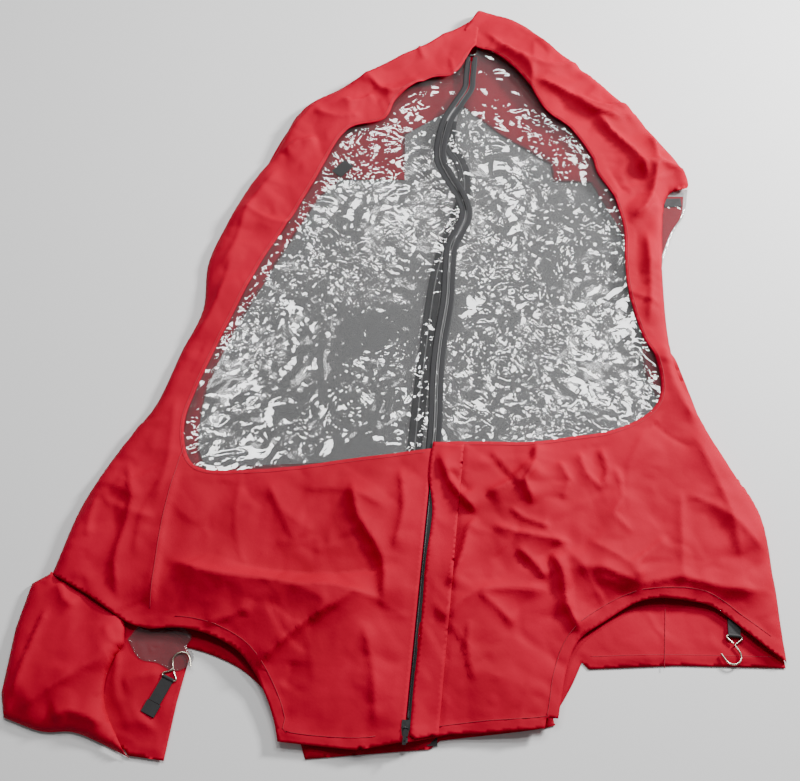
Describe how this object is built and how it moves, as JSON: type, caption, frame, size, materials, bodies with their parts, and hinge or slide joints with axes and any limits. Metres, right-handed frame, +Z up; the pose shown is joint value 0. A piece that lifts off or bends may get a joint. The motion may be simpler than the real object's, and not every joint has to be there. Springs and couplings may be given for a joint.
{
  "type": "zipped weather cover",
  "caption": "Flat-lying zipped weather cover of coated fabric with clear film windows, two folding front doors, side gussets, wheel arches and wire hooks on straps.",
  "frame": {"origin": "centre of the laid-out cover's bounding box, on the surface that it lies on", "axes": "+Y along the front zip from the hem to the peak, +X to the right as seen from above, +Z up out of the front layer"},
  "size_m": [1.226, 1.638, 0.042],
  "materials": {
    "red_fabric": "coated woven cloth, satin, creased",
    "clear_film": "clear crinkled film, glossy",
    "zip_tape": "black woven tape",
    "zip_plastic": "black moulded nylon",
    "slider_metal": "black enamel, semi-gloss",
    "webbing": "black elastic webbing",
    "hook_wire": "zinc-plated wire, slightly warm"
  },
  "bodies": {
    "cover": {"rear_panel": "red_fabric", "rear_window_left": "clear_film", "rear_window_right": "clear_film", "rear_zip_tape_left": "zip_tape", "rear_zip_tape_right": "zip_tape", "rear_zip_coils": "zip_plastic", "rear_hem_tab": "webbing", "left_border": "red_fabric", "right_border": "red_fabric", "left_window_margin": "clear_film", "right_window_margin": "clear_film", "apex_patch": "red_fabric", "left_roof_gusset": "red_fabric", "right_roof_gusset": "red_fabric", "left_side_gusset": "red_fabric", "right_side_gusset": "red_fabric", "left_side_flap": "red_fabric", "left_side_window": "clear_film", "right_side_window": "clear_film", "left_tie_tab": "webbing", "right_tie_tab": "webbing", "zip_top_stop": "zip_plastic", "left_strap_patch": "webbing", "right_strap_patch": "webbing"},
    "left_door": {"left_door_panel": "red_fabric", "left_window": "clear_film", "left_zip_tape": "zip_tape", "left_zip_coil": "zip_plastic", "left_zip_pin": "zip_plastic"},
    "right_door": {"right_door_panel": "red_fabric", "right_window": "clear_film", "right_zip_tape": "zip_tape", "right_zip_coil": "zip_plastic", "right_zip_pin": "zip_plastic", "zip_retainer_box": "zip_plastic"},
    "storm_flap": {"storm_flap": "red_fabric"},
    "front_slider": {"front_zip_slider": "slider_metal"},
    "front_pull": {"front_zip_pull": "slider_metal"},
    "rear_slider": {"rear_zip_slider": "slider_metal"},
    "rear_pull": {"rear_zip_pull": "slider_metal"},
    "left_strap": {"left_hook_strap": "webbing"},
    "right_strap": {"right_hook_strap": "webbing"},
    "left_hook": {"left_hook": "hook_wire"},
    "right_hook": {"right_hook": "hook_wire"}
  },
  "joints": [
    {"name": "left_door_fold", "type": "hinge", "parent": "cover", "child": "left_door", "pos_m": [0.0245, 0.672, 0.0212], "axis": [-0.3081, -0.9514, 0], "range_deg": [0, 165]},
    {"name": "right_door_fold", "type": "hinge", "parent": "cover", "child": "right_door", "pos_m": [0.0255, 0.672, 0.0212], "axis": [-0.3386, 0.9409, 0], "range_deg": [0, 165]},
    {"name": "storm_flap_fold", "type": "hinge", "parent": "right_door", "child": "storm_flap", "pos_m": [0.079, -0.5, 0.0231], "axis": [0, 1, 0], "range_deg": [0, 120]},
    {"name": "front_zip_slide", "type": "slide", "parent": "right_door", "child": "front_slider", "axis": [0, 1, 0], "range_m": [0, 1.33]},
    {"name": "front_pull_swing", "type": "hinge", "parent": "front_slider", "child": "front_pull", "pos_m": [0.025, -0.732, 0.0233], "axis": [-1, 0, 0], "range_deg": [0, 176]},
    {"name": "rear_zip_slide", "type": "slide", "parent": "cover", "child": "rear_slider", "axis": [0, -1, 0], "range_m": [-0.02, 1.16]},
    {"name": "rear_pull_swing", "type": "hinge", "parent": "rear_slider", "child": "rear_pull", "pos_m": [-0.005, 0.462, 0.0085], "axis": [-1, 0, 0], "range_deg": [0, 12]},
    {"name": "left_strap_lift", "type": "hinge", "parent": "cover", "child": "left_strap", "pos_m": [-0.36568, -0.73159, 0.0094], "axis": [0.9397, -0.342, 0], "range_deg": [0, 60]},
    {"name": "right_strap_lift", "type": "hinge", "parent": "cover", "child": "right_strap", "pos_m": [0.532, -0.494, 0.0094], "axis": [-1, 0, 0], "range_deg": [0, 8]},
    {"name": "left_hook_swing", "type": "hinge", "parent": "left_strap", "child": "left_hook", "pos_m": [-0.352, -0.694, 0.0078], "axis": [0.9397, -0.342, 0], "range_deg": [0, 100]},
    {"name": "right_hook_swing", "type": "hinge", "parent": "right_strap", "child": "right_hook", "pos_m": [0.532, -0.534, 0.0078], "axis": [-1, 0, 0], "range_deg": [0, 100]}
  ]
}
